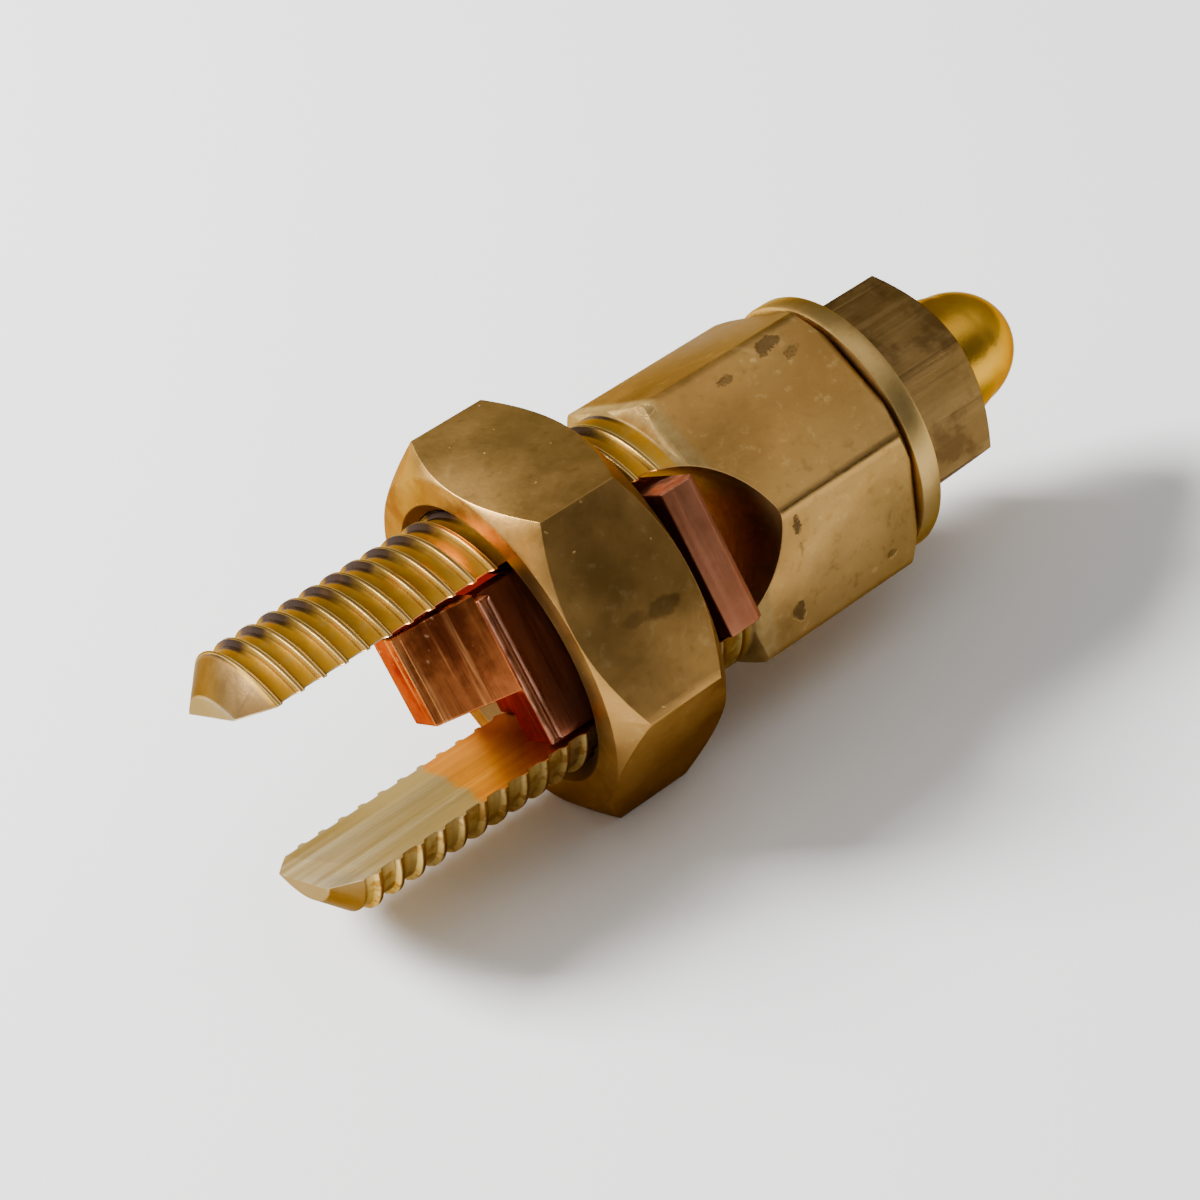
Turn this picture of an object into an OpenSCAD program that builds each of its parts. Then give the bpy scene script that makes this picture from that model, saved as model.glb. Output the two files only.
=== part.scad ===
// Split bolt connector with a service stud, lying on its side.
// X runs along the bolt from the leg tips to the stud, Z is up.
// The origin is the centre of the hex body's stud face, where a cable lug seats.

/* [Hex body] */
// Width of the hex body across its flats
body_af = 16; // [15.6:0.1:17]
// Rounding of the hex body's long edges
body_edge_r = 0.8; // [0.3:0.1:1.5]
// Solid metal between the floor of the slot and the stud face
web_t = 9.4; // [6:0.1:14]
// How far the slot reaches into the hex body
slot_in_body = 2.8; // [1:0.1:4.5]
// Length of the sloped shoulder between thread and hex
shoulder_l = 0.6; // [0.3:0.1:1.2]
// Chamfer on the edge of the stud face
face_chamfer = 0.5; // [0.2:0.1:1]

/* [Split legs] */
// Major diameter of the thread on the legs
thread_d = 16; // [15:0.1:16.5]
// Pitch of the thread on the legs
thread_pitch = 1.35; // [1:0.05:2]
// Depth of the thread's grooves
thread_depth = 0.5; // [0.3:0.05:0.9]
// Length of the legs, from the shoulder to the tips
leg_l = 27.2; // [24:0.2:36]
// Width of the slot between the legs
slot_w = 10; // [8:0.2:11]
// Length of the sloped tips
tip_l = 1.6; // [0.8:0.1:3]
// Diameter of the flat end of the tips
tip_d = 12.3; // [11.5:0.1:14]
// Plain length between the thread and the shoulder
thread_end = 0.3; // [0.2:0.1:2]

/* [Clamp nut] */
// Width of the clamp nut across its flats
nut_af = 20.6; // [20:0.1:24]
// Height of the clamp nut
nut_h = 7.5; // [5:0.1:10]
// Axial depth of the chamfer at the nut's corners
nut_chamfer = 1.4; // [0.6:0.1:2]
// How much narrower the nut's round faces are than its flats
nut_rim_step = 0.15; // [0.1:0.05:0.8]
// Countersink at the mouths of the nut's bore
nut_mouth = 0.5; // [0.2:0.1:0.8]
// Running clearance of each nut on its thread, on the radius
thread_clear = 0.05; // [0.02:0.01:0.1]

/* [Pressure bar] */
// Gap between the pressure bar and each wall of the slot
bar_side_clear = 0.7; // [0.3:0.05:0.9]
// Length of the bar across the slot
bar_l = 18; // [17:0.2:22]
// Thickness of the bar behind the nut
bar_t = 2.4; // [1.6:0.1:3.2]
// Width of the bevel on the bar's ends, along the bolt
bar_bevel_w = 1; // [0.4:0.1:1.4]
// Depth of the bevel on the bar's ends
bar_bevel_h = 0.35; // [0.1:0.05:0.8]
// Travel left before the bar's corners meet the round floor of the slot
bar_open = 0.9; // [0.3:0.1:1.6]
// Play between the bar and the back of the nut
bar_play = 1; // [0.3:0.1:1.2]
// Gap between the neck and the crests of the nut's thread
neck_clear = 0.7; // [0.3:0.05:1.2]
// Depth that the neck's middle stops behind the nut's front face
neck_recess = 0.4; // [0.2:0.1:2]
// Thickness of the arm that reaches out of the nut
arm_t = 1.4; // [1:0.1:2.8]
// Gap between the nut and the lip that holds it on the bar
lip_play = 1.8; // [0.3:0.1:2]
// Thickness of the lip
lip_t = 0.7; // [0.4:0.1:1.2]
// How far the lip stands out past the neck
lip_out = 1.7; // [1.4:0.1:2.2]
// Length of the tongue in front of its lip
tongue_l = 4.6; // [2:0.1:8]
// Thickness of the tongue
tongue_t = 3.2; // [2:0.1:4]
// Width of the tongue, from the bar's upper side down
tongue_w = 5.3; // [3:0.1:7]
// How far the tongue's outer side leans in towards its end
tongue_lean = 1.3; // [0:0.1:1.8]
// How much narrower the tongue gets towards its end
tongue_taper = 0.5; // [0:0.1:1]
// Step from the end of the lip in to the tongue's outer side
tongue_step = 0.35; // [0.1:0.05:0.8]
// Size of the soft edge on the tongue's nose
tongue_soft = 0.3; // [0.1:0.1:0.6]

/* [Stud] */
// Major diameter of the stud's thread
stud_d = 8; // [6:0.1:9]
// Pitch of the stud's thread
stud_pitch = 1.25; // [1:0.25:1.5]
// Length of the stud, from the stud face to its tip
stud_l = 14.2; // [13:0.2:24]
// Height of the domed end
dome_h = 4.2; // [2:0.1:5]
// Length of the plain end below the dome
plain_l = 2.3; // [1:0.1:2.8]
// Step on the radius from the crests down to the plain end, as a share of the pitch
plain_share = 0.2; // [0.18:0.01:0.5]

/* [Washer and stud nut] */
// Outer diameter of the washer
washer_d = 16.5; // [13:0.1:20]
// Thickness of the washer
washer_t = 1.5; // [1:0.1:2]
// Gap between the stud face and the washer
washer_gap = 0.2; // [0.1:0.05:0.4]
// Gap between the washer's hole and the stud
washer_clear = 0.3; // [0.2:0.05:0.6]
// Width of the stud nut across its flats
stud_nut_af = 12; // [11.5:0.1:14]
// Height of the stud nut
stud_nut_h = 5.6; // [4:0.1:6.5]
// Gap between the washer and the stud nut
stud_nut_gap = 0.1; // [0.05:0.05:0.3]
// Axial depth of the chamfer at the stud nut's corners
stud_nut_chamfer = 0.6; // [0.3:0.1:1.2]

/* [Resting pose] */
// Angle that the slot's through direction makes with the floor
slot_roll = 26; // [0:1:60]
// Turn of the stud nut, from a flat lying level
stud_nut_turn = 16; // [0:1:59]

/* [Hidden] */
eps = 0.01;
// how far a cut or a joined end runs past the solid it meets
over = 1;
round_fn = 96;
brass = [0.72, 0.56, 0.30];
dull_brass = [0.52, 0.40, 0.22];
copper = [0.66, 0.38, 0.26];

// half widths of a groove at its root and at the crests, as shares of the pitch
groove_root = 0.2;
groove_top = 0.42;
// how far a groove's section runs out past the crests
groove_over = 0.1;
// arc that each groove spans on its leg
groove_arc = 130;

// Stations along X. The stud face is at 0 and the legs point to -X.
slot_floor_x = -web_t;
shoulder_x = slot_floor_x - slot_in_body;
tip_x = shoulder_x - leg_l;
slot_r = slot_w / 2;
slot_centre_x = slot_floor_x - slot_r;

// The first crest is where the sloped tips end. Crests on the two legs are half a pitch apart.
thread_first_x = tip_x + tip_l + thread_pitch / 2;
thread_last_x = shoulder_x - thread_end - groove_top * thread_pitch;
thread_lead = atan(thread_pitch / (PI * thread_d));

// The pressure bar sits in the slot, short of the place where its corners would touch the floor.
bar_w = slot_w - 2 * bar_side_clear;
bar_back_x = slot_centre_x + sqrt(pow(slot_r, 2) - pow(bar_w / 2, 2)) - bar_open;
bar_front_x = bar_back_x - bar_t;

// The nut is held between the bar and the lips.
nut_back_x = bar_front_x - bar_play;
nut_front_x = nut_back_x - nut_h;
lip_back_x = nut_front_x - lip_play;
lip_front_x = lip_back_x - lip_t;
neck_front_x = nut_front_x + neck_recess;
nut_bore_r = thread_d / 2 + thread_clear;
nut_crest_r = nut_bore_r - thread_depth;
neck_y = sqrt(pow(nut_crest_r, 2) - pow(bar_w / 2, 2)) - neck_clear;
lip_y = neck_y + lip_out;

// The washer and its nut follow each other along the stud.
washer_back_x = washer_gap + washer_t;
stud_nut_front_x = washer_back_x + stud_nut_gap;
plain_r = stud_d / 2 - plain_share * stud_pitch;
dome_x = stud_l - dome_h;

// Distance from a hexagon's centre to its corners.
function corner_r(af) = af / (2 * cos(30));

// Points of a hexagon with rounded corners, one of them on the Y axis.
function round_hex(af, r, steps = 4) = [
    for (i = [0 : 5], j = [0 : steps])
        let (a = 90 + 60 * i, b = a - 30 + 60 * j / steps, c = corner_r(af) - r / cos(30))
            [c * cos(a) + r * cos(b), c * sin(a) + r * sin(b)]
];

// Lays a solid that was drawn up the Z axis along +X. A corner on its Y axis stays on Y.
module along_x(x = 0) {
    translate([x, 0, 0]) rotate([0, 90, 0]) children();
}

// Turns a solid so that Y runs through the slot and Z from the upper to the lower leg.
module in_slot() {
    rotate([180 - slot_roll, 0, 0]) children();
}

// Cylinder on the X axis between two stations.
module rod(x0, x1, r) {
    along_x(x0) cylinder(r = r, h = x1 - x0, $fn = round_fn);
}

// Solid of revolution about the X axis, from points [x, radius].
module turned(points) {
    along_x() rotate_extrude($fn = round_fn) polygon([for (p = points) [p[1], p[0]]]);
}

// Hexagon nut on the X axis from x0 to x0 + h, chamfered at both ends.
module hex_nut(x0, af, h, bore_r, chamfer, rim_step, mouth) {
    outer_r = corner_r(af);
    rim_r = af / 2 - rim_step;
    difference() {
        intersection() {
            along_x(x0) rotate([0, 0, 30]) cylinder(r = outer_r, h = h, $fn = 6);
            turned([
                [x0, 0], [x0, rim_r], [x0 + chamfer, outer_r + eps],
                [x0 + h - chamfer, outer_r + eps], [x0 + h, rim_r], [x0 + h, 0]
            ]);
        }
        rod(x0 - over, x0 + h + over, bore_r);
        for (end = [0, 1])
            translate([x0 + end * h, 0, 0]) mirror([end, 0, 0])
                turned([[-eps, 0], [-eps, bore_r + mouth + eps], [mouth, bore_r], [mouth, 0]]);
    }
}

// Hex bar with a sloped shoulder at the legs and a chamfer round the stud face.
module hex_body() {
    full_r = corner_r(body_af);
    intersection() {
        in_slot() along_x(shoulder_x)
            linear_extrude(height = -shoulder_x) polygon(round_hex(body_af, body_edge_r));
        turned([
            [shoulder_x, 0], [shoulder_x, thread_d / 2 - eps], [shoulder_x + shoulder_l, full_r],
            [-face_chamfer, full_r], [0, full_r - 2 * face_chamfer], [0, 0]
        ]);
    }
}

// Round bar that the two legs are sawn from, with its sloped tip.
module leg_bar() {
    turned([
        [tip_x, 0], [tip_x, tip_d / 2], [tip_x + tip_l, thread_d / 2],
        [shoulder_x + shoulder_l, thread_d / 2], [shoulder_x + shoulder_l, 0]
    ]);
}

// Grooves of the leg thread. Over one leg's arc a ring tilted by the lead angle follows the
// helix to within a few hundredths of a millimetre, so each turn is cut as two tilted arcs.
module leg_thread() {
    top_r = thread_d / 2;
    root_r = top_r - thread_depth;
    top_w = groove_top * thread_pitch;
    root_w = groove_root * thread_pitch;
    out_w = top_w + (top_w - root_w) * groove_over / (top_r - root_r);
    section = [
        [root_r, -root_w], [root_r, root_w], [top_r + groove_over, out_w],
        [top_r + over, out_w], [top_r + over, -out_w], [top_r + groove_over, -out_w]
    ];
    in_slot() for (leg = [0, 1])
        for (x = [thread_first_x - leg * thread_pitch / 2 : thread_pitch : thread_last_x])
            translate([x, 0, 0]) rotate([180 * leg, 0, 0]) rotate([0, 90, -thread_lead])
                rotate([0, 0, -groove_arc / 2])
                    rotate_extrude(angle = groove_arc, $fn = round_fn) polygon(section);
}

// Slot with a half-round floor, through both sides and out of the tips.
module slot_cut() {
    reach = 2 * max(body_af, thread_d);
    in_slot() {
        translate([slot_centre_x, 0, 0]) rotate([90, 0, 0])
            cylinder(r = slot_r, h = reach, center = true, $fn = round_fn);
        translate([tip_x - over, -reach / 2, -slot_r])
            cube([slot_centre_x - tip_x + over, reach, slot_w]);
    }
}

// Threaded stud, its plain end and a domed tip.
module stud() {
    dome = [for (a = [0 : 10 : 90]) [dome_x + dome_h * sin(a), plain_r * cos(a)]];
    turned(concat(
        [[-over, 0], [-over, stud_d / 2], [dome_x - plain_l, stud_d / 2], [dome_x - plain_l, plain_r]],
        dome
    ));
}

module bolt() {
    color(brass) {
        difference() {
            union() {
                hex_body();
                leg_bar();
            }
            slot_cut();
            leg_thread();
        }
        stud();
    }
}

module clamp_nut() {
    color(dull_brass)
        hex_nut(nut_front_x, nut_af, nut_h, nut_bore_r, nut_chamfer, nut_rim_step, nut_mouth);
}

// One copper piece: a bar behind the nut, a neck through it and an arm with a lip in front.
// The arm carries a tongue that lies between the legs.
module pressure_bar() {
    arm_y = neck_y - arm_t;
    arm = [
        [neck_front_x, arm_y], [lip_front_x, arm_y], [lip_front_x, lip_y],
        [lip_back_x, lip_y], [lip_back_x, neck_y]
    ];
    half = [
        [bar_front_x, neck_y], [bar_front_x, bar_l / 2], [bar_back_x - bar_bevel_w, bar_l / 2],
        [bar_back_x, bar_l / 2 - bar_bevel_h]
    ];
    far_half = [for (i = [len(half) - 1 : -1 : 0]) [half[i][0], -half[i][1]]];
    color(copper) in_slot() {
        linear_extrude(height = bar_w, center = true)
            polygon(concat(arm, half, far_half, [[neck_front_x, -neck_y]]));
        tongue(lip_y - tongue_step);
    }
}

// Tab in front of the upper half of the lip. Its outer side starts at y and leans in.
module tongue(y) {
    nose_x = lip_front_x - tongue_l;
    nose_y = y - tongue_lean;
    lower = -bar_w / 2 + tongue_w;
    intersection() {
        translate([0, 0, -bar_w / 2]) linear_extrude(height = tongue_w)
            polygon([
                [lip_front_x + eps, y],
                [nose_x + tongue_soft, nose_y + tongue_lean * tongue_soft / tongue_l],
                [nose_x, nose_y - tongue_soft],
                [nose_x, nose_y - tongue_t], [lip_front_x + eps, y - tongue_t]
            ]);
        rotate([90, 0, 0]) linear_extrude(height = bar_l, center = true)
            polygon([
                [lip_front_x + over, -bar_w], [nose_x - over, -bar_w],
                [nose_x, lower - tongue_taper], [lip_front_x + over, lower]
            ]);
    }
}

module stud_washer() {
    color(brass) difference() {
        rod(washer_gap, washer_back_x, washer_d / 2);
        rod(washer_gap - over, washer_back_x + over, stud_d / 2 + washer_clear);
    }
}

module stud_nut() {
    color(dull_brass) rotate([stud_nut_turn, 0, 0])
        hex_nut(stud_nut_front_x, stud_nut_af, stud_nut_h, stud_d / 2 + thread_clear,
                stud_nut_chamfer, nut_rim_step, nut_mouth);
}

bolt();
clamp_nut();
pressure_bar();
stud_washer();
stud_nut();
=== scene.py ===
import bpy
import math
from mathutils import Matrix, Vector


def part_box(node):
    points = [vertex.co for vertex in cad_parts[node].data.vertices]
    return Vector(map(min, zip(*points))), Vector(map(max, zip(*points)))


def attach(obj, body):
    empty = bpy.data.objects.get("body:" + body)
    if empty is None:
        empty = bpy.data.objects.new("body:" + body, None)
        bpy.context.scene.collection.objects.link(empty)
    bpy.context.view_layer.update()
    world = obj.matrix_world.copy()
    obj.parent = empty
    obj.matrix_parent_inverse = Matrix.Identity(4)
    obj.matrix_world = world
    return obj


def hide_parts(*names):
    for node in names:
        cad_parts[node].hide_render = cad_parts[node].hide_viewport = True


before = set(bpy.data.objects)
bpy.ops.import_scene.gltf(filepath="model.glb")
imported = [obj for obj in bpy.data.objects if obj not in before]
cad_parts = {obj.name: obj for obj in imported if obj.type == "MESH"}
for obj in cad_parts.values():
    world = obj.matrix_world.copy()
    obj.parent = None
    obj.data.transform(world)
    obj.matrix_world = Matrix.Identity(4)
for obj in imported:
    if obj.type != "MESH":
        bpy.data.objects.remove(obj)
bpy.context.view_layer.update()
mm = 0.001
slotRoll = math.radians(154)  # turns the slot's own Y and Z axes into the frame's
print("split bolt connector: frame loaded")


# small helpers
def toObject():
    if bpy.context.object and bpy.context.object.mode != "OBJECT":
        bpy.ops.object.mode_set(mode="OBJECT")


def onlyActive(obj):
    toObject()
    bpy.ops.object.select_all(action="DESELECT")
    obj.select_set(True)
    bpy.context.view_layer.objects.active = obj


def applyAll(obj):
    onlyActive(obj)
    bpy.ops.object.transform_apply(location=True, rotation=True, scale=True)


def newest(name):
    obj = bpy.context.object
    obj.name = name
    applyAll(obj)
    return obj


def clearAll():
    toObject()
    bpy.ops.object.select_all(action="DESELECT")


def selectFaces(obj, test):
    # leaves the object in edit mode with only the faces that pass the test selected
    onlyActive(obj)
    mesh = obj.data
    for group in (mesh.vertices, mesh.edges, mesh.polygons):
        group.foreach_set("select", [False] * len(group))
    for face in mesh.polygons:
        face.select = bool(test(face.center / mm, face.normal))
    bpy.ops.object.mode_set(mode="EDIT")
    bpy.ops.mesh.select_mode(type="FACE")


def selectEdges(obj, test):
    onlyActive(obj)
    mesh = obj.data
    for group in (mesh.vertices, mesh.edges, mesh.polygons):
        group.foreach_set("select", [False] * len(group))
    for edge in mesh.edges:
        a, b = (mesh.vertices[i].co / mm for i in edge.vertices)
        edge.select = bool(test((a + b) / 2, b - a))
    bpy.ops.object.mode_set(mode="EDIT")
    bpy.ops.mesh.select_mode(type="EDGE")


def everything():
    bpy.ops.mesh.select_all(action="SELECT")


def tidyNormals(obj):
    onlyActive(obj)
    bpy.ops.object.mode_set(mode="EDIT")
    everything()
    bpy.ops.mesh.remove_doubles(threshold=1e-7)
    bpy.ops.mesh.normals_make_consistent(inside=False)
    bpy.ops.object.mode_set(mode="OBJECT")


def slide(x=0, y=0, z=0):
    bpy.ops.transform.translate(value=(x * mm, y * mm, z * mm))


def pull(x=0, y=0, z=0):
    bpy.ops.mesh.extrude_region_move(TRANSFORM_OT_translate={"value": (x * mm, y * mm, z * mm)})


def sliceAt(point, normal):
    # cuts every face along a plane, so that parts of a face can be picked
    everything()
    bpy.ops.mesh.bisect(plane_co=[v * mm for v in point], plane_no=normal)


def useModifier(obj, kind, **settings):
    onlyActive(obj)
    mod = obj.modifiers.new(kind.lower(), kind)
    for key, value in settings.items():
        setattr(mod, key, value)
    bpy.ops.object.modifier_apply(modifier=mod.name)


def combine(obj, tool, how="DIFFERENCE"):
    useModifier(obj, "BOOLEAN", operation=how, object=tool, solver="EXACT")
    bpy.data.objects.remove(tool)


def softEdges(obj, width, segments=2, angle=30):
    useModifier(obj, "BEVEL", width=width * mm, segments=segments, limit_method="ANGLE",
                angle_limit=math.radians(angle), use_clamp_overlap=True)


def smooth(obj, angle=32):
    onlyActive(obj)
    bpy.ops.object.shade_smooth_by_angle(angle=math.radians(angle))


def turned(name, stations, steps=128):
    # a solid of revolution about X, drawn from one end face to the other as [x, radius]
    clearAll()
    x, r = stations[0]
    bpy.ops.mesh.primitive_circle_add(vertices=steps, radius=r * mm, fill_type="NGON",
                                      location=(x * mm, 0, 0), rotation=(0, math.pi / 2, 0))
    obj = newest(name)
    bpy.ops.object.mode_set(mode="EDIT")
    bpy.ops.mesh.select_mode(type="FACE")
    everything()
    for nextX, nextR in stations[1:]:
        pull(nextX - x)
        bpy.ops.transform.resize(value=(1, nextR / r, nextR / r), center_override=(0, 0, 0))
        x, r = nextX, nextR
    tidyNormals(obj)
    return obj


def threadGroove(name, startX, turns, pitch, levels, turn, steps=64):
    # helical cutter about X; levels are [radius, half width] of the groove's section
    clearAll()
    r0, w0 = levels[0]
    r1, w1 = levels[1]
    middle = (startX * mm, 0, (r0 + r1) / 2 * mm)
    bpy.ops.mesh.primitive_plane_add(size=1, location=middle, rotation=(math.pi / 2, 0, 0))
    obj = newest(name)
    bpy.ops.object.mode_set(mode="EDIT")
    everything()
    bpy.ops.transform.resize(value=(2 * w0 * mm, 1, abs(r1 - r0) * mm), center_override=middle)
    way = 1 if r1 > r0 else -1
    selectEdges(obj, lambda c, d: way * (c.z - (r0 + r1) / 2) > 0.3 * abs(r1 - r0))
    bpy.ops.transform.resize(value=(w1 / w0, 1, 1), center_override=(startX * mm, 0, 0))
    r, w = r1, w1
    for nextR, nextW in levels[2:]:
        pull(z=nextR - r)
        bpy.ops.transform.resize(value=(nextW / w, 1, 1), center_override=(startX * mm, 0, 0))
        r, w = nextR, nextW
    everything()
    bpy.ops.mesh.dissolve_faces()
    bpy.ops.mesh.delete(type="ONLY_FACE")
    useModifier(obj, "SCREW", axis="X", angle=2 * math.pi, iterations=turns, screw_offset=pitch * mm,
                steps=steps, render_steps=steps)
    bpy.ops.object.mode_set(mode="EDIT")
    everything()
    bpy.ops.mesh.fill_holes(sides=0)
    toObject()
    obj.rotation_euler.x = turn
    applyAll(obj)
    tidyNormals(obj)
    return obj


def hexBar(name, startX, length, acrossFlats, cornerTurn):
    clearAll()
    bpy.ops.mesh.primitive_cylinder_add(vertices=6, radius=acrossFlats / math.sqrt(3) * mm, depth=length * mm,
                                        location=((startX + length / 2) * mm, 0, 0), rotation=(0, math.pi / 2, 0))
    obj = newest(name)
    obj.rotation_euler.x = cornerTurn
    applyAll(obj)
    return obj


# shader helpers
class Link:
    # one output socket, with the sums that a pattern needs
    def __init__(self, tree, socket):
        self.tree, self.socket = tree, socket

    def math(self, operation, *others):
        values = {i: v for i, v in enumerate((self,) + others)}
        return self.tree.add("ShaderNodeMath", {"operation": operation}, values)

    def __add__(self, other): return self.math("ADD", other)
    def __sub__(self, other): return self.math("SUBTRACT", other)
    def __mul__(self, other): return self.math("MULTIPLY", other)
    def __truediv__(self, other): return self.math("DIVIDE", other)
    def __rsub__(self, other): return self.tree.add("ShaderNodeMath", {"operation": "SUBTRACT"}, {0: other, 1: self})
    def __pow__(self, other): return self.math("POWER", other)

    def between(self, low, high, toLow=0.0, toHigh=1.0):
        return self.tree.add("ShaderNodeMapRange", {"interpolation_type": "SMOOTHSTEP"},
                             {"Value": self, "From Min": low, "From Max": high, "To Min": toLow, "To Max": toHigh})


class Finish:
    # a material's node tree, with one method that adds any node
    def __init__(self, name):
        self.material = bpy.data.materials.new(name)
        self.material.use_nodes = True
        self.nodes = self.material.node_tree.nodes
        self.links = self.material.node_tree.links
        self.shader = next(n for n in self.nodes if n.type == "BSDF_PRINCIPLED")
        self.place = self.add("ShaderNodeTexCoord", {}, {}, "Object")
        self.xyz = self.add("ShaderNodeSeparateXYZ", {}, {0: self.place}, None)

    def add(self, kind, settings, values, out=0):
        node = self.nodes.new(kind)
        for key, value in settings.items():
            if key == "stops":
                ramp = node.color_ramp
                while len(ramp.elements) < len(value):
                    ramp.elements.new(0.5)
                for element, (position, colour) in zip(ramp.elements, value):
                    element.position = position
                    element.color = colour if len(colour) == 4 else (*colour, 1)
            else:
                setattr(node, key, value)
        for key, value in values.items():
            socket = node.inputs[key]
            if isinstance(value, Link):
                self.links.new(value.socket, socket)
            elif isinstance(value, (tuple, list)) and len(value) == 3 and socket.type == "RGBA":
                socket.default_value = (*value, 1)
            else:
                socket.default_value = value
        if out is None:
            return node
        return Link(self, node.outputs[out])

    def axis(self, name):
        return Link(self, self.xyz.outputs[name])

    def noise(self, scale, detail=4, rough=0.55, stretch=(1, 1, 1), turn=(0, 0, 0), shift=(0, 0, 0)):
        where = self.add("ShaderNodeMapping", {"vector_type": "TEXTURE"}, {"Vector": self.place, "Rotation": turn}, 0)
        where = self.add("ShaderNodeMapping", {}, {"Vector": where, "Scale": stretch, "Location": shift}, 0)
        return self.add("ShaderNodeTexNoise", {}, {"Vector": where, "Scale": scale, "Detail": detail,
                                                   "Roughness": rough}, 0)

    def blend(self, factor, first, second, how="MIX"):
        return self.add("ShaderNodeMix", {"data_type": "RGBA", "blend_type": how, "clamp_factor": True},
                        {0: factor, 6: first, 7: second}, 2)

    def spot(self, centre, size, wobble=0.5, grain=700):
        # soft-edged mark round a point; centre and half sizes in mm
        away = self.add("ShaderNodeVectorMath", {"operation": "SUBTRACT"}, {0: self.place, 1: Vector(centre) * mm})
        away = self.add("ShaderNodeVectorMath", {"operation": "DIVIDE"}, {0: away, 1: Vector(size) * mm})
        length = self.add("ShaderNodeVectorMath", {"operation": "LENGTH"}, {0: away}, 1)
        return (length + (self.noise(grain, 4, 0.7) - 0.5) * wobble * 3.5).between(0.55, 1.1, 1, 0)

    def ramp(self, factor, stops):
        return self.add("ShaderNodeValToRGB", {"stops": stops}, {0: factor})

    def metal(self, colour, edge, rough, share=1.0):
        self.use(Base_Color=colour, Metallic=share, Specular_Tint=edge, Specular_IOR_Level=0.15, Roughness=rough)

    def use(self, **values):
        for key, value in values.items():
            socket = self.shader.inputs[key.replace("_", " ")]
            if isinstance(value, Link):
                self.links.new(value.socket, socket)
            elif socket.type == "RGBA" and len(value) == 3:
                socket.default_value = (*value, 1)
            else:
                socket.default_value = value

    def bump(self, height, strength=0.4, distance=0.0001):
        values = {"Height": height, "Strength": strength, "Distance": distance}
        self.use(Normal=self.add("ShaderNodeBump", {}, values, 0))


def paint(obj, finish):
    obj.data.materials.clear()
    obj.data.materials.append(finish.material)


def radiusFromAxis(f):
    y, z = f.axis("Y"), f.axis("Z")
    return (y * y + z * z) ** 0.5


# brass bolt: hex body, split legs, stud
bolt = {
    "bodyAcrossFlats": 16.0,
    "bodyCornerRound": 0.46,   # how far the long corners are eased
    "web": 9.4,
    "slotInBody": 2.8,
    "shoulder": 0.6,
    "faceChamfer": 0.9,
    "faceRadius": 8.02,
    "threadRadius": 8.0,
    "threadPitch": 1.35,
    "threadDepth": 0.32,
    "threadEnd": 0.3,
    "slotWidth": 10.0,
    "tipLength": 1.6,
    "tipRadius": 6.15,
    "studRadius": 4.0,
    "studPitch": 1.25,
    "studThreadDepth": 0.68,
    "studThreadStart": 0.9,
    "plainRadius": 3.75,
    "plainLength": 2.85,
    "domeHeight": 4.2,
    "edgeSoftness": 0.12,
}
boltLow, boltHigh = (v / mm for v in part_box("bolt"))
tipX, studTip = boltLow.x, boltHigh.x
slotFloorX = -bolt["web"]
shoulderX = slotFloorX - bolt["slotInBody"]
domeX = studTip - bolt["domeHeight"]

# the leg thread's grooves start in the open slot, so that the upper tip stays whole
legThreadLead = 65
legThreadStart = tipX + bolt["tipLength"] - bolt["threadPitch"] * legThreadLead / 360
legThreadTurn = slotRoll - math.radians(legThreadLead)


def grooveLevels(crest, depth, pitch, rootShare, topShare, inward=False):
    # section of a thread groove with eased crests and root; inward cuts a nut's bore
    sign = -1 if inward else 1
    root = crest - sign * depth
    return [(root, 0.55 * rootShare * pitch), (root + sign * 0.1 * depth, rootShare * pitch),
            (crest - sign * 0.12 * depth, (topShare - 0.035) * pitch),
            (crest - sign * 0.02 * depth, topShare * pitch),
            (crest + sign * 0.5, (topShare + 0.01) * pitch)]


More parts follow.
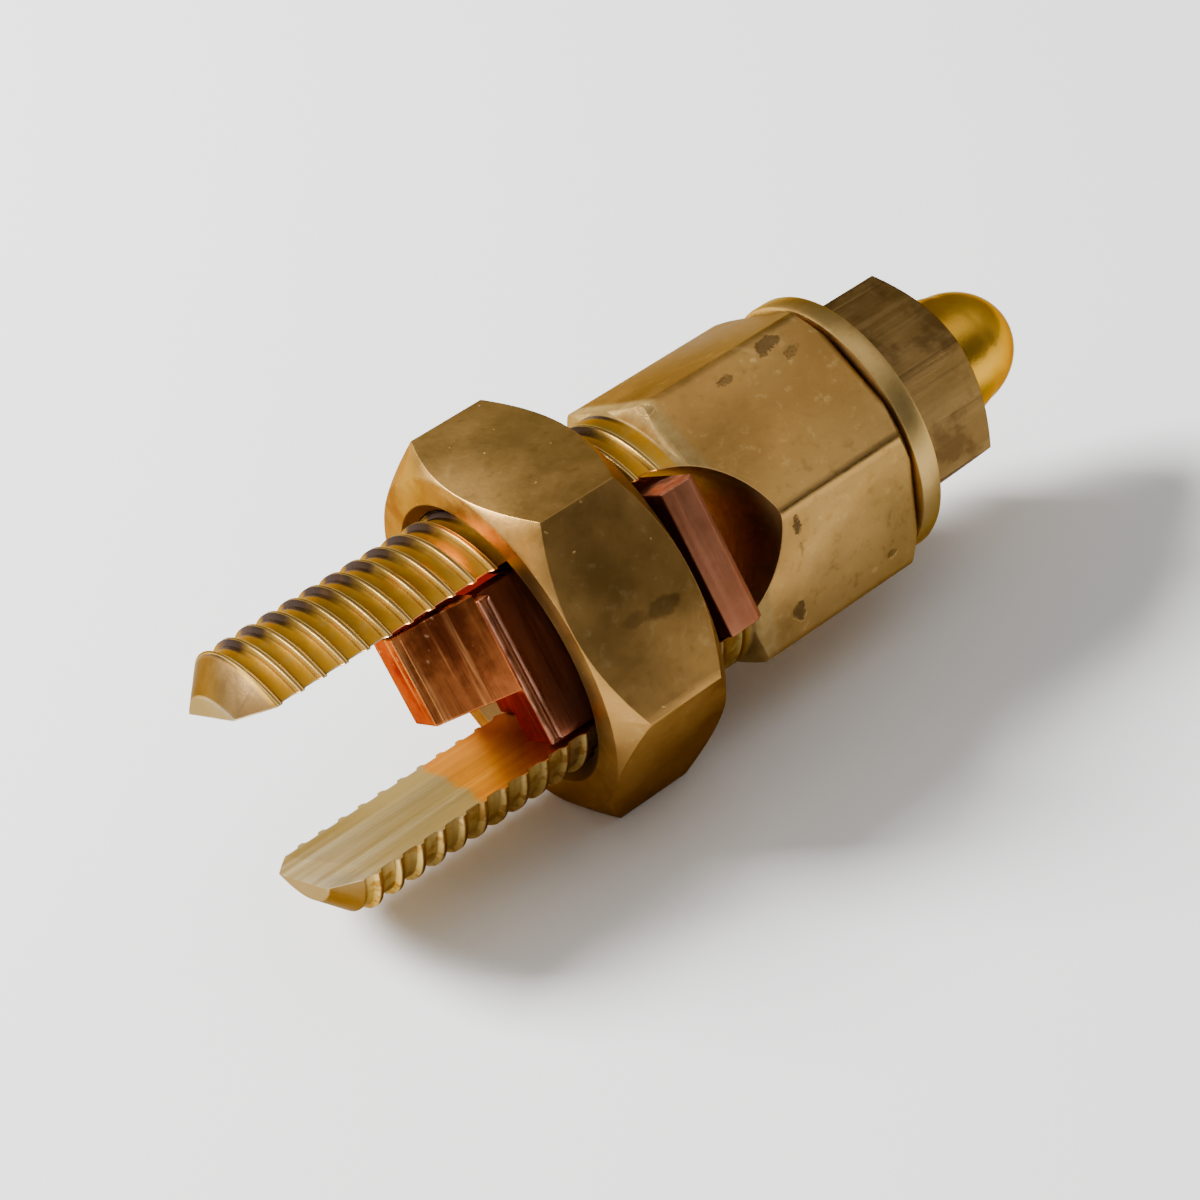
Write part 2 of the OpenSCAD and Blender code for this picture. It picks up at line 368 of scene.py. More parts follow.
def makeBolt(b):
    full = b["bodyAcrossFlats"] / math.sqrt(3)
    body = hexBar("bolt_piece", shoulderX, -shoulderX, b["bodyAcrossFlats"], slotRoll)
    selectEdges(body, lambda c, d: abs(d.x) > 5)
    bpy.ops.mesh.bevel(offset=b["bodyCornerRound"] * mm, segments=4)
    toObject()
    combine(body, turned("shoulders", [
        [shoulderX - 0.02, b["threadRadius"] - 0.03], [shoulderX + b["shoulder"], full], [-b["faceChamfer"], full],
        [0.0, b["faceRadius"]]], 160), "INTERSECT")
    combine(body, turned("legBar", [
        [tipX, b["tipRadius"]], [tipX + b["tipLength"], b["threadRadius"]],
        [shoulderX + b["shoulder"] + 0.5, b["threadRadius"]]]), "UNION")
    clearAll()
    bpy.ops.mesh.primitive_cube_add(size=1, location=((slotFloorX - 25) * mm, 0, 0),
                                    scale=(50 * mm, 60 * mm, b["slotWidth"] * mm))
    slot = newest("slotTool")
    selectEdges(slot, lambda c, d: abs(d.y) > 50 and c.x > slotFloorX - 1)
    bpy.ops.mesh.bevel(offset=(b["slotWidth"] / 2 - 0.002) * mm, segments=28)
    toObject()
    slot.rotation_euler.x = slotRoll
    applyAll(slot)
    combine(body, slot)
    softEdges(body, b["edgeSoftness"])
    lastX = shoulderX - b["threadEnd"] - 0.45 * b["threadPitch"]
    turns = int((lastX - legThreadStart) / b["threadPitch"])
    combine(body, threadGroove("legThread", legThreadStart, turns, b["threadPitch"],
                               grooveLevels(b["threadRadius"], b["threadDepth"], b["threadPitch"], 0.29, 0.42),
                               legThreadTurn, 96))
    # stud, plain end and dome
    dome = [[domeX + 0.12 + (b["domeHeight"] - 0.12) * math.sin(math.radians(a)),
             max(0.03, (b["plainRadius"] - 0.14) * math.cos(math.radians(a)))] for a in range(6, 91, 6)]
    stud = turned("stud", [[-2.0, b["studRadius"]], [domeX - b["plainLength"], b["studRadius"]],
                           [domeX - b["plainLength"] + 0.2, b["plainRadius"]], [domeX, b["plainRadius"]]] + dome, 96)
    turns = int((domeX - b["plainLength"] - b["studThreadStart"]) / b["studPitch"])
    combine(stud, threadGroove("studThread", b["studThreadStart"], turns, b["studPitch"],
                               grooveLevels(b["studRadius"], b["studThreadDepth"], b["studPitch"], 0.13, 0.44), 0, 48))
    combine(body, stud, "UNION")
    smooth(body)
    return body


boltPiece = makeBolt(bolt)
print("bolt made:", len(boltPiece.data.polygons), "faces")

# clamp nut
clampNut = {"chamfer": 1.4, "rimStep": 0.04, "mouth": 0.5, "boreRadius": 7.76, "threadOuter": 8.12,
            "edgeSoftness": 0.1}
nutLow, nutHigh = (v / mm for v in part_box("clamp_nut"))
nutWide = nutHigh.z - nutLow.z


def makeNut(name, low, high, flats, turn, nut, pitch, threadStart, threadTurn):
    chamfer, bore, mouth = nut["chamfer"], nut["boreRadius"], nut["mouth"]
    full = flats / math.sqrt(3) + 0.01
    rim = flats / 2 - nut["rimStep"]
    piece = hexBar(name, low, high - low, flats, turn)
    combine(piece, turned("chamfers", [[low - 0.001, rim], [low + chamfer, full], [high - chamfer, full],
                                       [high + 0.001, rim]], 160), "INTERSECT")
    softEdges(piece, nut["edgeSoftness"], 2, 15)
    combine(piece, turned("bore", [[low - 0.5, bore + mouth + 0.95], [low + mouth + 0.4, bore],
                                   [high - mouth - 0.4, bore], [high + 0.5, bore + mouth + 0.95]], 128))
    turns = int((high - low) / pitch) + 3
    combine(piece, threadGroove("boreThread", threadStart, turns, pitch,
                                grooveLevels(bore, nut["threadOuter"] - bore, pitch, 0.13, 0.39, True), threadTurn))
    smooth(piece)
    return piece


nutThreadStart = legThreadStart + bolt["threadPitch"] * (int((nutLow.x - legThreadStart) / bolt["threadPitch"]) - 0.5)
nutPiece = makeNut("clamp_nut_piece", nutLow.x, nutHigh.x, nutWide, 0, clampNut, bolt["threadPitch"],
                   nutThreadStart, legThreadTurn)
print("clamp nut made:", len(nutPiece.data.polygons), "faces")

# copper pressure bar with its lips and tongue
copperBar = {
    "width": 8.6, "length": 18.0, "thickness": 2.4,
    "neckHalf": 5.486, "armThickness": 1.4, "neckFront": -23.25, "lipBack": -25.45, "lipFront": -26.15, "lipOut": 1.7,
    "tongueOuter": 6.836, "tongueThickness": 3.2, "tongueWidth": 5.3, "tongueLean": 1.3, "tongueTaper": 0.5,
    "tongueRise": 0.4,         # how far the tongue stands up past the bar, close under the upper leg
    "neckReach": 0.5,
    "edgeSoftness": 0.14, "ridgeWidth": 0.22, "ridgeDepth": 0.3,
    "cornerRidges": (0.0, 0.42),   # where the two fine ridges stand back from the tongue's outer corner
}
barLow, barHigh = (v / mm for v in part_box("pressure_bar"))


def makeBar(c):
    half, deep = c["length"] / 2, c["width"] / 2
    back, front = barHigh.x, barHigh.x - c["thickness"]
    lipY = c["neckHalf"] + c["lipOut"]
    clearAll()
    bpy.ops.mesh.primitive_cube_add(size=1, location=((back + front) / 2 * mm, 0, 0),
                                    scale=(c["thickness"] * mm, c["length"] * mm, c["width"] * mm))
    bar = newest("pressure_bar_piece")
    bpy.ops.object.mode_set(mode="EDIT")
    for y in (c["neckHalf"], c["neckHalf"] - c["armThickness"], -c["neckHalf"]):
        sliceAt((0, y, 0), (0, 1, 0))
    selectFaces(bar, lambda p, n: n.x < -0.9 and abs(p.y) < c["neckHalf"])
    pull(c["neckFront"] - front)
    selectFaces(bar, lambda p, n: n.x < -0.9 and c["neckHalf"] - c["armThickness"] < p.y < c["neckHalf"])
    pull(c["lipBack"] - c["neckFront"])
    selectFaces(bar, lambda p, n: n.x < -0.9 and p.x < c["lipBack"] + 0.1)
    pull(c["lipFront"] - c["lipBack"])
    selectFaces(bar, lambda p, n: n.y > 0.9 and c["lipFront"] < p.x < c["lipBack"])
    pull(y=c["lipOut"])
    # the neck nearly touches the lower leg
    selectFaces(bar, lambda p, n: n.z > 0.9 and c["lipBack"] < p.x < front and abs(p.y) < c["neckHalf"])
    pull(z=c["neckReach"])
    # tongue in front of the lip, over the upper part of its width
    inner = c["tongueOuter"] - c["tongueThickness"]
    lower = -deep + c["tongueWidth"]
    bpy.ops.object.mode_set(mode="OBJECT")
    for point, normal in (((0, inner, 0), (0, 1, 0)), ((0, c["tongueOuter"], 0), (0, 1, 0)),
                          ((0, 0, lower), (0, 0, 1))):
        selectFaces(bar, lambda p, n: n.x < -0.9 and p.x < c["lipFront"] + 0.1 and p.y > 0)
        bpy.ops.mesh.bisect(plane_co=[v * mm for v in point], plane_no=normal)
    selectFaces(bar, lambda p, n: n.x < -0.9 and p.x < c["lipFront"] + 0.1
                and inner < p.y < c["tongueOuter"] and p.z < lower)
    pull(barLow.x - c["lipFront"])
    slide(y=-c["tongueLean"])
    selectEdges(bar, lambda p, d: abs(p.x - barLow.x) < 0.1 and abs(d.y) > 1 and p.z > 0)
    slide(z=-c["tongueTaper"])
    selectFaces(bar, lambda p, n: n.z < -0.9 and p.x < c["lipFront"] - 0.3)
    pull(z=-c["tongueRise"])
    # bevel along the outer back corners of the bar
    selectEdges(bar, lambda p, d: abs(p.x - back) < 0.01 and abs(abs(p.y) - half) < 0.01 and abs(d.z) > 1)
    bpy.ops.mesh.bevel(offset=0.5 * mm, segments=1)
    # a fine channel between the two ridges at the outer end of the lip
    selectFaces(bar, lambda p, n: n.y > 0.9 and abs(p.y - lipY) < 0.01)
    bpy.ops.mesh.inset(thickness=c["ridgeWidth"] * mm)
    selectFaces(bar, lambda p, n: n.y > 0.9 and abs(p.y - lipY) < 0.01
                and c["lipFront"] + 0.25 < p.x < c["lipBack"] - 0.25)
    pull(y=-c["ridgeDepth"])
    bpy.ops.object.mode_set(mode="OBJECT")
    softEdges(bar, c["edgeSoftness"], 3, 25)
    # two sheared ridges along the outer corner of the tongue's end
    low, top = -deep - c["tongueRise"] + 0.25, lower - c["tongueTaper"] - 0.15
    for behind in c["cornerRidges"]:
        clearAll()
        bpy.ops.mesh.primitive_cylinder_add(vertices=12, radius=0.075 * mm, depth=(top - low) * mm, location=(
            (barLow.x + 0.06 + behind) * mm, (c["tongueOuter"] - c["tongueLean"] * (1 - behind / 4.6) - 0.03) * mm,
            (top + low) / 2 * mm))
        ridge = newest("ridge")
        selectFaces(ridge, lambda p, n: abs(n.z) > 0.9)
        bpy.ops.mesh.inset(thickness=0.03 * mm)
        bpy.ops.mesh.bevel(offset=0.02 * mm, segments=1)
        toObject()
        combine(bar, ridge, "UNION")
    bar.rotation_euler.x = slotRoll
    applyAll(bar)
    tidyNormals(bar)
    smooth(bar)
    return bar


barPiece = makeBar(copperBar)
print("pressure bar made:", len(barPiece.data.polygons), "faces")

# washer and stud nut
washer = {"hole": 4.3, "edgeRound": 0.28}
washerLow, washerHigh = (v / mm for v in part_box("stud_washer"))


def makeWasher(w):
    outer, x0, x1, e = washerHigh.z, washerLow.x, washerHigh.x, w["edgeRound"]
    ring = turned("stud_washer_piece", [[x0, outer - e], [x0 + e * 0.3, outer - e * 0.3], [x0 + e, outer],
                                        [x1 - e, outer], [x1 - e * 0.3, outer - e * 0.3], [x1, outer - e]], 160)
    combine(ring, turned("hole", [[x0 - 1, w["hole"] + 0.1], [x0 + 0.1, w["hole"]], [x1 - 0.1, w["hole"]],
                                  [x1 + 1, w["hole"] + 0.9]], 96))
    smooth(ring)
    return ring


washerPiece = makeWasher(washer)
studNut = {"acrossFlats": 12.0, "turn": 16, "chamfer": 0.6, "rimStep": 0.15, "mouth": 0.4, "boreRadius": 3.8,
           "threadOuter": 4.07, "edgeSoftness": 0.12}
studNutLow, studNutHigh = (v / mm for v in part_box("stud_nut"))
studNutPiece = makeNut("stud_nut_piece", studNutLow.x, studNutHigh.x, studNut["acrossFlats"],
                       math.radians(studNut["turn"]), studNut, bolt["studPitch"],
                       bolt["studThreadStart"] - bolt["studPitch"] * 0.5, 0)
print("washer and stud nut made")


# finishes
def slotAxes(f):
    # distances through the slot and across it, towards the lower leg, in mm
    y, z = f.axis("Y") / mm, f.axis("Z") / mm
    return y * math.cos(slotRoll) + z * math.sin(slotRoll), y * -math.sin(slotRoll) + z * math.cos(slotRoll)


def brassFinish(name, look, shiftBy=0.0):
    f = Finish(name)
    cloud = f.noise(150, 5, 0.62, shift=(shiftBy, 0, 0))
    broad = f.noise(45, 3, 0.5, shift=(0, 0, shiftBy))
    fine = f.noise(1300, 3, 0.65, shift=(0, shiftBy, 0))
    colour = f.blend(cloud.between(0.3, 0.7), look["dark"], look["base"])
    colour = f.blend(broad.between(0.42, 0.66) * look["mottle"], colour, look["bright"])
    colour = f.blend(fine.between(0.56, 0.74) * look["flecks"], colour, look["bright"])
    colour = f.blend(fine.between(0.26, 0.46, 1, 0) * look["flecks"] * 1.3, colour, look["dark"])
    return f, colour, cloud, fine


boltLook = {
    "base": (0.42, 0.228, 0.062), "dark": (0.29, 0.155, 0.04), "bright": (0.60, 0.38, 0.13),
    "mottle": 0.6, "flecks": 0.45,   # how strongly broad clouds and fine specks show
    "gold": (0.46, 0.215, 0.012), "olive": (0.40, 0.24, 0.045), "cream": (0.68, 0.48, 0.18),
    "flankDark": (0.016, 0.008, 0.002),
    "brown": (0.20, 0.085, 0.012), "edge": (0.42, 0.33, 0.18),
    "pits": [((-3.4, -1.3, 8.8), (0.85, 0.55, 0.35), 0.75), ((-6.8, -1.7, 8.5), (0.5, 0.35, 0.35), 0.6),
             ((-11.7, -0.9, 9.0), (0.6, 0.5, 0.5), 0.3), ((-8.5, -8.2, 2.7), (0.28, 0.5, 0.75), 0.95),
             ((-9.1, -7.8, -3.2), (0.5, 0.6, 0.75), 0.75), ((-2.3, -7.8, -3.5), (0.35, 0.3, 0.3), 0.5),
             ((-8.4, -8.1, 0.9), (0.2, 0.3, 0.5), 0.4), ((-2.6, -2.2, 8.3), (0.6, 0.3, 0.3), 0.4)],
    "glints": [((-4.7, -1.6, 8.6), (0.22, 0.16, 0.12)), ((-3.6, -7.8, -3.8), (0.22, 0.12, 0.15))],
}


def boltBrass(look):
    f, colour, cloud, fine = brassFinish("boltBrass", look)
    x, r = f.axis("X") / mm, radiusFromAxis(f) / mm
    through, across = slotAxes(f)
    past = (x - (slotFloorX - bolt["slotWidth"] / 2)).math("MAXIMUM", 0)
    slotRadius = bolt["slotWidth"] / 2
    inside = ((past * past + across * across) ** 0.5).between(slotRadius + 0.02, slotRadius + 0.08, 1, 0)
    legs = x.between(shoulderX - 0.2, shoulderX - 0.08, 1, 0) * (1 - inside)
    coneEnd = tipX + bolt["tipLength"]
    angle = f.add("ShaderNodeMath", {"operation": "ARCTAN2"}, {0: f.axis("Z"), 1: f.axis("Y")})
    turnShare = (angle - (slotRoll + math.pi / 2 - 2 * math.pi)) / (2 * math.pi)
    phase = ((x - coneEnd) / bolt["threadPitch"] - turnShare + (cloud - 0.5) * 0.03).math("FRACT")
    # broad gold bands with two fine light lines along each crest: worn crest edges and painted highlight
    bands = f.ramp(phase, [(0.0, look["gold"]), (0.18, look["gold"]), (0.36, look["olive"]), (0.405, look["brown"]),
                           (0.425, look["cream"]), (0.455, look["cream"]), (0.485, look["brown"]),
                           (0.525, look["brown"]), (0.55, look["cream"]), (0.575, look["cream"]),
                           (0.62, look["olive"]), (0.8, look["gold"])])
    bands = f.blend(fine.between(0.4, 0.7) * 0.5, bands, look["olive"])
    # dark streak along the flank below each crest, on the upper leg only, fading towards the near edge
    flank = phase.between(0.0, 0.16) * phase.between(0.43, 0.47, 1, 0)
    upper = angle.between(0, 0.05)
    fade = angle.between(0.80, 0.96) * (angle + (cloud - 0.5) * 0.6).between(1.3, 1.75, 1, 0)
    flankDark = flank * fade * upper * cloud.between(0.25, 0.5, 0.7, 1.0)
    rust = f.noise(320, 3, 0.6, shift=(0.2, 0.7, 0.1)).between(0.55, 0.68) * upper * 0.55
    bands = f.blend(rust, bands, (0.42, 0.16, 0.015))
    bands = f.blend(flankDark * 0.97, bands, look["flankDark"])
    # the lower leg's thread gets its own tones: the two legs carry lit and shaded copies of one brass, painted light
    # and shade
    low = 1 - upper
    ribs = f.ramp(phase, [(0.0, (0.45, 0.29, 0.09)), (0.3, (0.50, 0.35, 0.12)), (0.40, look["cream"]),
                          (0.45, look["cream"]), (0.48, look["brown"]), (0.60, look["brown"]),
                          (0.70, (0.42, 0.24, 0.05)), (0.9, (0.52, 0.34, 0.11))])
    ribs = f.blend(f.noise(900, 3, 0.6, shift=(0.9, 0, 0)).between(0.5, 0.6) * 0.7, ribs, (0.30, 0.13, 0.02))
    bands = f.blend(low, bands, ribs)
    threaded = legs * x.between(coneEnd - 0.25, coneEnd - 0.05)
    colour = f.blend(threaded, colour, bands)
    shoulder = x.between(shoulderX - 0.2, shoulderX - 0.08) * x.between(shoulderX + 0.9, shoulderX + 1.6, 1, 0)
    shoulder = shoulder * (1 - inside)
    colour = f.blend(shoulder, colour, f.blend(fine.between(0.3, 0.7), (0.32, 0.20, 0.065), (0.40, 0.27, 0.10)))
    # turned tips with pale sawn end faces
    cone = (1 - inside) * x.between(coneEnd - 0.25, coneEnd - 0.05, 1, 0)
    coneColour = f.blend(cloud.between(0.3, 0.7), (0.17, 0.10, 0.04), (0.27, 0.165, 0.065))
    colour = f.blend(cone, colour, coneColour)
    endFace = x.between(tipX + 0.06, tipX + 0.14, 1, 0)
    colour = f.blend(endFace, colour, (0.40, 0.30, 0.18))
    # sawn flats, brushed along the legs, with a copper tint where the tongue slides: a painted reflection of the
    # copper bar, darker towards the nut as painted shade
    brushed = f.noise(900, 3, 0.6, stretch=(0.05, 1, 1))
    streaks = f.noise(260, 3, 0.55, stretch=(0.12, 1, 1))
    flat = f.blend(brushed.between(0.35, 0.68), (0.38, 0.29, 0.17), (0.54, 0.45, 0.30))
    flat = f.blend(streaks.between(0.5, 0.68) * 0.5, flat, (0.34, 0.23, 0.11))
    flat = f.blend(x.between(-36.5, -31.0) * streaks.between(0.3, 0.6) * 0.55, flat, (0.62, 0.50, 0.28))
    edge = x + through * 0.16 + (streaks - 0.5) * 1.2
    copperReflectionEdge = edge.between(-29.9, -29.3)
    copperReflection = f.blend(brushed.between(0.35, 0.65), (0.80, 0.30, 0.07), (0.95, 0.42, 0.13))
    copperReflectionShaded = f.blend(x.between(-27.2, -24.5), copperReflection, (0.46, 0.13, 0.03))
    flat = f.blend(copperReflectionEdge, flat, copperReflectionShaded)
    deepSlot = x.between(-13.6, -12.4)
    slotWall = f.blend(cloud.between(0.3, 0.7), (0.36, 0.20, 0.07), (0.50, 0.30, 0.11))
    flat = f.blend(deepSlot, flat, slotWall)
    colour = f.blend(inside, colour, flat)
    # marks on the hex body: scratches, a dark line along one corner on the near side, pits, and two glints that are
    # painted highlights
    body = x.between(shoulderX + 0.2, shoulderX + 0.6) * (1 - inside)
    scratch = f.noise(650, 2, 0.5, stretch=(1, 0.07, 0.07), turn=(0, 0, 0.7)).between(0.66, 0.72)
    colour = f.blend(scratch * body * 0.3, colour, look["bright"])
    cornerLine = across.math("ABSOLUTE").between(0.05, 0.16, 1, 0) * through.between(8.2, 8.6)
    cornerLine = cornerLine * fine.between(0.3, 0.6, 0.4, 1)
    colour = f.blend(cornerLine * body * 0.75, colour, (0.12, 0.07, 0.02))
    pits = None
    for centre, size, depth in look["pits"]:
        mark = f.spot(centre, size, 0.9, 1100) * depth
        colour = f.blend(mark, colour, (0.085, 0.05, 0.02))
        pits = mark if pits is None else pits + mark
    # two small pale spots, painted highlights
    for centre, size in look["glints"]:
        colour = f.blend(f.spot(centre, size, 0.9) * 0.5, colour, look["cream"])
    # thread and dome of the stud: glossier and more golden
    stud = x.between(0.4, 0.6)
    colour = f.blend(stud, colour, f.blend(cloud.between(0.35, 0.65), (0.48, 0.22, 0.012), (0.62, 0.33, 0.03)))
    rough = cloud.between(0.2, 0.8, 0.30, 0.44) - stud * 0.16 + shoulder * 0.2
    f.metal(colour, look["edge"], rough, 1 - flankDark * threaded * 0.3)
    f.bump(fine * 0.35 + cloud * 1.2 - pits * 1.5 + brushed * inside * 0.8, 0.35, 0.00012)
    return f


nutLook = {
    "base": (0.43, 0.235, 0.068), "dark": (0.28, 0.15, 0.038), "bright": (0.55, 0.36, 0.13),
    "mottle": 0.35, "flecks": 0.4,
    "edge": (0.36, 0.23, 0.07),
    "smudges": [((-18.5, -9.6, 4.2), (1.1, 1.0, 0.5), 0.5), ((-20.3, -9.4, 4.4), (0.8, 1.0, 0.35), 0.3),
                ((-17.2, -9.4, 2.0), (0.8, 1.0, 0.4), 0.25)],
}


def nutBrass(look):
    f, colour, cloud, fine = brassFinish("nutBrass", look, 0.31)
    x = f.axis("X") / mm
    for centre, size, depth in look["smudges"]:
        colour = f.blend(f.spot(centre, size, 0.7, 450) * depth, colour, (0.04, 0.022, 0.006))
    r = radiusFromAxis(f) / mm
    frontFace = x.between(nutLow.x + 0.03, nutLow.x + 0.12, 1, 0)
    stain = f.noise(240, 4, 0.6, shift=(0.1, 0.3, 0.2)).between(0.45, 0.6)
    colour = f.blend(frontFace * stain * 0.5, colour, (0.20, 0.09, 0.025))
    chips = f.noise(2100, 2, 0.5).between(0.74, 0.78)
    colour = f.blend(chips * 0.4, colour, (0.75, 0.52, 0.2))
    # a dark, rough bore: painted shade inside the thread
    bore = r.between(8.8, 8.6)
    colour = f.blend(bore * 0.8, colour, (0.10, 0.05, 0.016))
    f.metal(colour, look["edge"], cloud.between(0.2, 0.8, 0.30, 0.44) + bore * 0.4)
    f.bump(fine * 0.4 + cloud * 1.3 - chips * 0.6, 0.3, 0.00012)
    return f


copperLook = {
    "base": (0.40, 0.115, 0.03), "dark": (0.16, 0.034, 0.01), "bright": (0.95, 0.42, 0.13),
    "matt": (0.42, 0.165, 0.085),
    "tarnishAndShade": (0.11, 0.024, 0.008), "neck": (0.36, 0.12, 0.06), "edge": (0.55, 0.27, 0.15),
}


def copperFinish(look):
    f = Finish("brushedCopper")
    x = f.axis("X") / mm
    through, across = slotAxes(f)
    cloud = f.noise(330, 4, 0.6)
    lines = f.noise(1500, 3, 0.6, stretch=(1, 1, 0.05), turn=(slotRoll, 0, 0))
    nicks = f.noise(900, 3, 0.7, stretch=(1, 1, 0.3), turn=(slotRoll, 0, 0), shift=(0.3, 0, 0))
    tongue = f.blend(cloud.between(0.35, 0.62), look["dark"], look["base"])
    tongue = f.blend(lines.between(0.55, 0.72) * 0.5, tongue, look["bright"])
    peened = f.noise(2300, 2, 0.5, shift=(0.6, 0, 0)).between(0.66, 0.72)
    tongue = f.blend(peened * across.between(-3.0, -1.5, 0.4, 0.0), tongue, (0.95, 0.52, 0.32))
    # matt bar behind the nut; in between, on the neck and the bar's face against the nut, tarnish with painted shade
    front = barHigh.x - copperBar["thickness"]
    matt = f.blend(cloud.between(0.3, 0.7), (0.30, 0.105, 0.05), look["matt"])
    matt = f.blend(lines.between(0.5, 0.75) * 0.35, matt, (0.50, 0.22, 0.12))
    onBar = x.between(front - 0.3, front - 0.1)
    colour = f.blend(onBar, tongue, matt)
    neck = x.between(copperBar["lipBack"] + 0.02, copperBar["lipBack"] + 0.2)
    neck = neck * x.between(front - 0.3, front - 0.1, 1, 0)
    colour = f.blend(neck * 0.95, colour, look["neck"])
    gap = x.between(front + 0.02, front + 0.12, 1, 0) * onBar
    colour = f.blend(gap * 0.9, colour, look["tarnishAndShade"])
    # tarnish with painted shade inside the neck and on the lip below the tongue
    hollow = neck * through.between(4.0, 4.1, 1, 0)
    tongueEdge = copperBar["tongueWidth"] - copperBar["width"] / 2
    below = across.between(tongueEdge + 0.05, tongueEdge + 0.2)
    lipFace = below * x.between(copperBar["lipFront"] + 0.03, copperBar["lipFront"] + 0.1, 1, 0)
    colour = f.blend((hollow + lipFace) * 0.9, colour, look["tarnishAndShade"])
    # worn strip down the lip's outer end
    strip = through.between(6.85, 7.0) * x.between(copperBar["lipFront"] - 0.4, copperBar["lipFront"] - 0.2)
    strip = strip * x.between(copperBar["lipBack"], copperBar["lipBack"] + 0.1, 1, 0)
    worn = f.blend(nicks.between(0.45, 0.6), (0.46, 0.21, 0.13), (0.16, 0.06, 0.03))
    colour = f.blend(strip * 0.9, colour, worn)
    speck = f.spot((-15.0, -8.3, -1.6), (0.25, 0.4, 0.25), 0.4)
    colour = f.blend(speck, colour, look["bright"])
    f.metal(colour, look["edge"], lines.between(0.3, 0.7, 0.26, 0.42) + x.between(front - 0.3, front - 0.1) * 0.14,
            1 - strip * 0.3)
    f.bump(lines + nicks * 0.9 * x.between(front - 0.3, front - 0.1, 1, 0.3), 0.5, 0.00009)
    return f


washerLook = {
    "base": (0.42, 0.25, 0.075), "dark": (0.32, 0.18, 0.045), "bright": (0.62, 0.44, 0.17),
    "mottle": 0.5, "flecks": 0.3, "edge": (0.72, 0.52, 0.22),
}


def washerBrass(look):
    f, colour, cloud, fine = brassFinish("washerBrass", look, 0.7)
    f.metal(colour, look["edge"], cloud.between(0.2, 0.8, 0.28, 0.42))
    f.bump(fine * 0.5 + cloud, 0.3, 0.0001)
    return f


studNutLook = {
    "base": (0.20, 0.115, 0.035), "dark": (0.12, 0.066, 0.018), "bright": (0.33, 0.21, 0.08),
    "mottle": 0.4, "flecks": 0.15, "edge": (0.36, 0.23, 0.09),
}


def studNutBrass(look):
    f, colour, cloud, fine = brassFinish("studNutBrass", look, 0.5)
    lines = f.noise(1100, 3, 0.6, stretch=(0.05, 1, 1))
    grooves = f.noise(800, 2, 0.5, stretch=(0.04, 1, 1), shift=(0, 0.4, 0))
    stain = f.noise(260, 4, 0.65, shift=(0.5, 0.2, 0.9)).between(0.5, 0.62)
    colour = f.blend(lines.between(0.45, 0.7) * 0.45, colour, look["bright"])
    colour = f.blend(grooves.between(0.62, 0.68) * 0.6, colour, (0.07, 0.035, 0.01))
    colour = f.blend(stain * 0.6, colour, (0.085, 0.042, 0.015))
    f.metal(colour, look["edge"], cloud.between(0.2, 0.8, 0.34, 0.5))
    f.bump(lines - grooves.between(0.6, 0.7) * 0.8, 0.45, 0.0001)
    return f


for piece, finish, body, node, slot in (
        (boltPiece, boltBrass(boltLook), "bolt", "bolt", "bolt_brass"),
        (nutPiece, nutBrass(nutLook), "clamp_nut", "clamp_nut", "nut_brass"),
        (barPiece, copperFinish(copperLook), "pressure_bar", "pressure_bar", "bar_copper"),
        (washerPiece, washerBrass(washerLook), "stud_washer", "stud_washer", "washer_brass"),
        (studNutPiece, studNutBrass(studNutLook), "stud_nut", "stud_nut", "stud_nut_brass")):
    paint(piece, finish)
    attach(piece, body)
    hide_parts(node)
print("finishes done")


# studio: floor, light, camera
studio = {
    "floorColour": (0.92, 0.92, 0.92),
    "floorHeight": nutLow.z,
    "worldStrength": 0.5,
    "worldColour": (1.0, 0.985, 0.96),
    # a pale room that is darker or lighter on some sides: direction, where that starts and is full, depth
    "shades": [((0.38, -0.87, 0.30), 0.68, 0.93, 0.72), ((0.38, 0.70, 0.60), 0.6, 0.95, 0.35),
               ((0.38, -0.25, 0.88), 0.8, 0.95, -1.4)],
    # softboxes: name, place, what they face, size, power, colour
    "lamps": [("keyLight", (-0.24, 0.29, 0.33), (-0.01, 0, 0), 0.2, 8.0, (1, 1, 1)),
              ("glintLight", (-0.30, 0.05, 0.10), (-0.02, 0, 0), 0.05, 0.06, (1.0, 0.8, 0.5))],
    "lens": 77.9,
    "cameraPlace": (-0.07209, -0.10074, 0.08540),
    "cameraRight": (0.7748, -0.5992, -0.2021),
    "cameraUp": (0.5022, 0.3889, 0.7724),
}
clearAll()
bpy.ops.mesh.primitive_plane_add(size=1.2, location=(0, 0, studio["floorHeight"] * mm - 0.00005))
floor = newest("studio_floor")
bpy.ops.object.mode_set(mode="EDIT")
everything()
bpy.ops.mesh.subdivide(number_cuts=3)
bpy.ops.object.mode_set(mode="OBJECT")
floorFinish = Finish("paleFloor")
floorFinish.use(Base_Color=studio["floorColour"], Roughness=0.75)
paint(floor, floorFinish)

world = bpy.data.worlds.new("softRoom")
bpy.context.scene.world = world
world.use_nodes = True


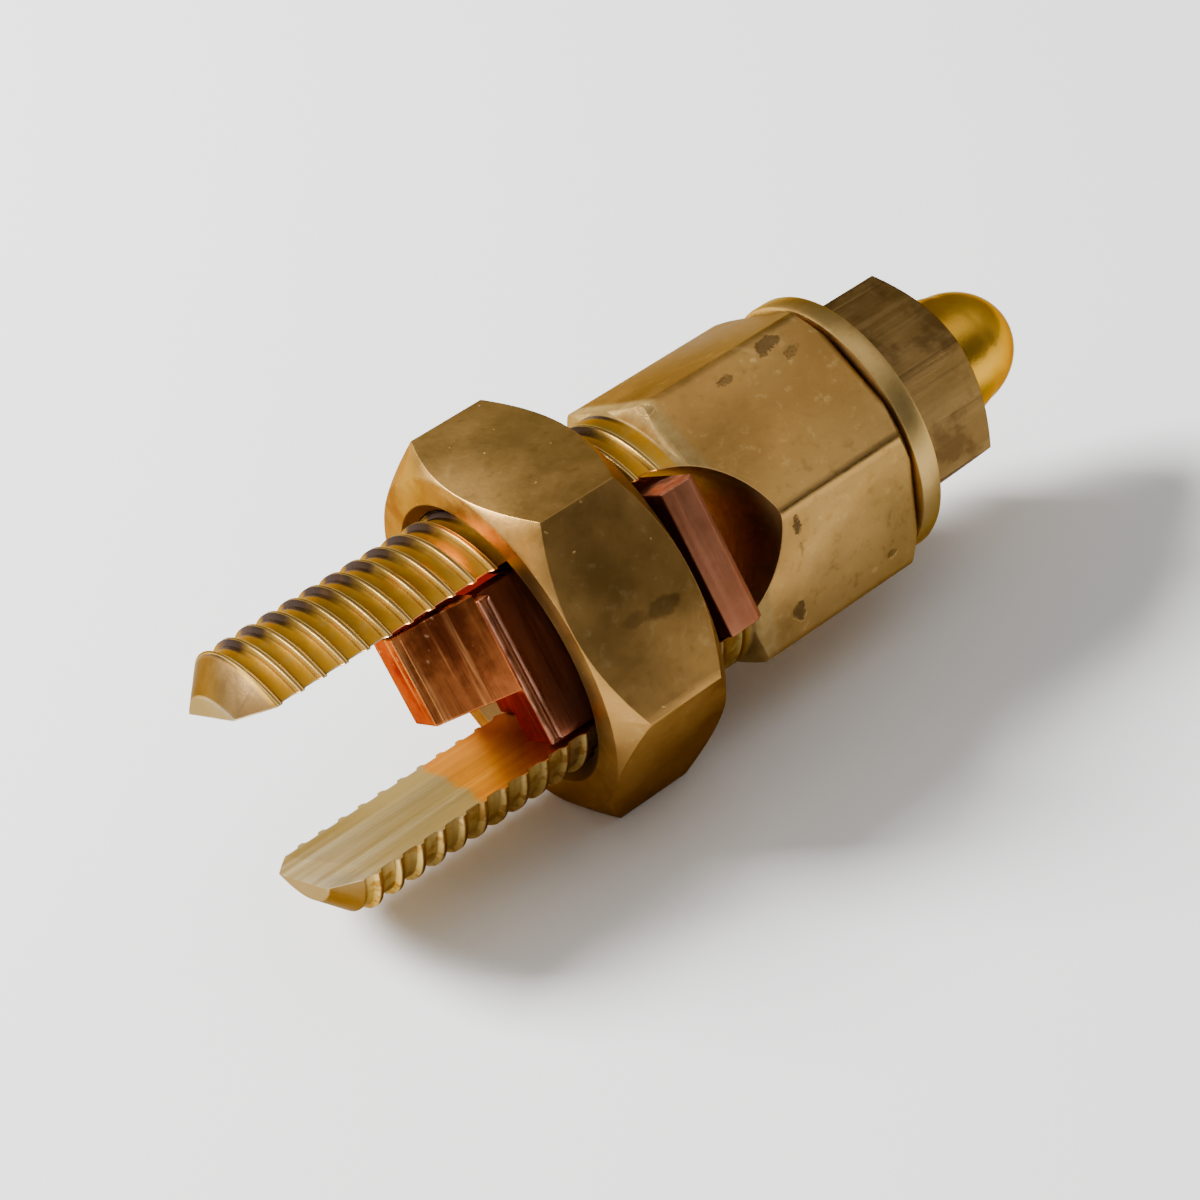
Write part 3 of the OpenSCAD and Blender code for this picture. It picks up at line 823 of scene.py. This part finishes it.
def shadeRoom(tree, room):
    place = tree.nodes.new("ShaderNodeTexCoord")
    value = None
    for direction, start, full, depth in room["shades"]:
        dot = tree.nodes.new("ShaderNodeVectorMath")
        dot.operation = "DOT_PRODUCT"
        tree.links.new(place.outputs["Generated"], dot.inputs[0])
        dot.inputs[1].default_value = Vector(direction).normalized()
        ramp = tree.nodes.new("ShaderNodeMapRange")
        ramp.interpolation_type = "SMOOTHSTEP"
        tree.links.new(dot.outputs["Value"], ramp.inputs["Value"])
        for key, number in (("From Min", start), ("From Max", full), ("To Min", 1.0), ("To Max", 1 - depth)):
            ramp.inputs[key].default_value = number
        if value is None:
            value = ramp.outputs[0]
        else:
            times = tree.nodes.new("ShaderNodeMath")
            times.operation = "MULTIPLY"
            tree.links.new(value, times.inputs[0])
            tree.links.new(ramp.outputs[0], times.inputs[1])
            value = times.outputs[0]
    strength = tree.nodes.new("ShaderNodeMath")
    strength.operation = "MULTIPLY"
    tree.links.new(value, strength.inputs[0])
    strength.inputs[1].default_value = room["worldStrength"]
    background = tree.nodes["Background"]
    background.inputs["Color"].default_value = (*room["worldColour"], 1)
    tree.links.new(strength.outputs[0], background.inputs["Strength"])


shadeRoom(world.node_tree, studio)


def softbox(name, place, aim, size, power, colour):
    clearAll()
    bpy.ops.object.light_add(type="AREA", location=place)
    lamp = bpy.context.object
    lamp.name = name
    lamp.data.shape = "RECTANGLE"
    lamp.data.size = lamp.data.size_y = size
    lamp.data.energy = power
    lamp.data.color = colour
    lamp.rotation_euler = (Vector(aim) - Vector(place)).to_track_quat("-Z", "Y").to_euler()


for lamp in studio["lamps"]:
    softbox(*lamp)

right, up = Vector(studio["cameraRight"]), Vector(studio["cameraUp"])
ahead = right.cross(up) * -1
camData = bpy.data.cameras.new("camera")
camera = bpy.data.objects.new("camera", camData)
bpy.context.scene.collection.objects.link(camera)
camData.lens = studio["lens"]
camData.sensor_width = 36
camData.sensor_fit = "HORIZONTAL"
camData.clip_start = 0.005
turn = Matrix((right, up, -ahead)).transposed().to_4x4()
camera.matrix_world = Matrix.Translation(studio["cameraPlace"]) @ turn
bpy.context.scene.camera = camera
print("studio ready")
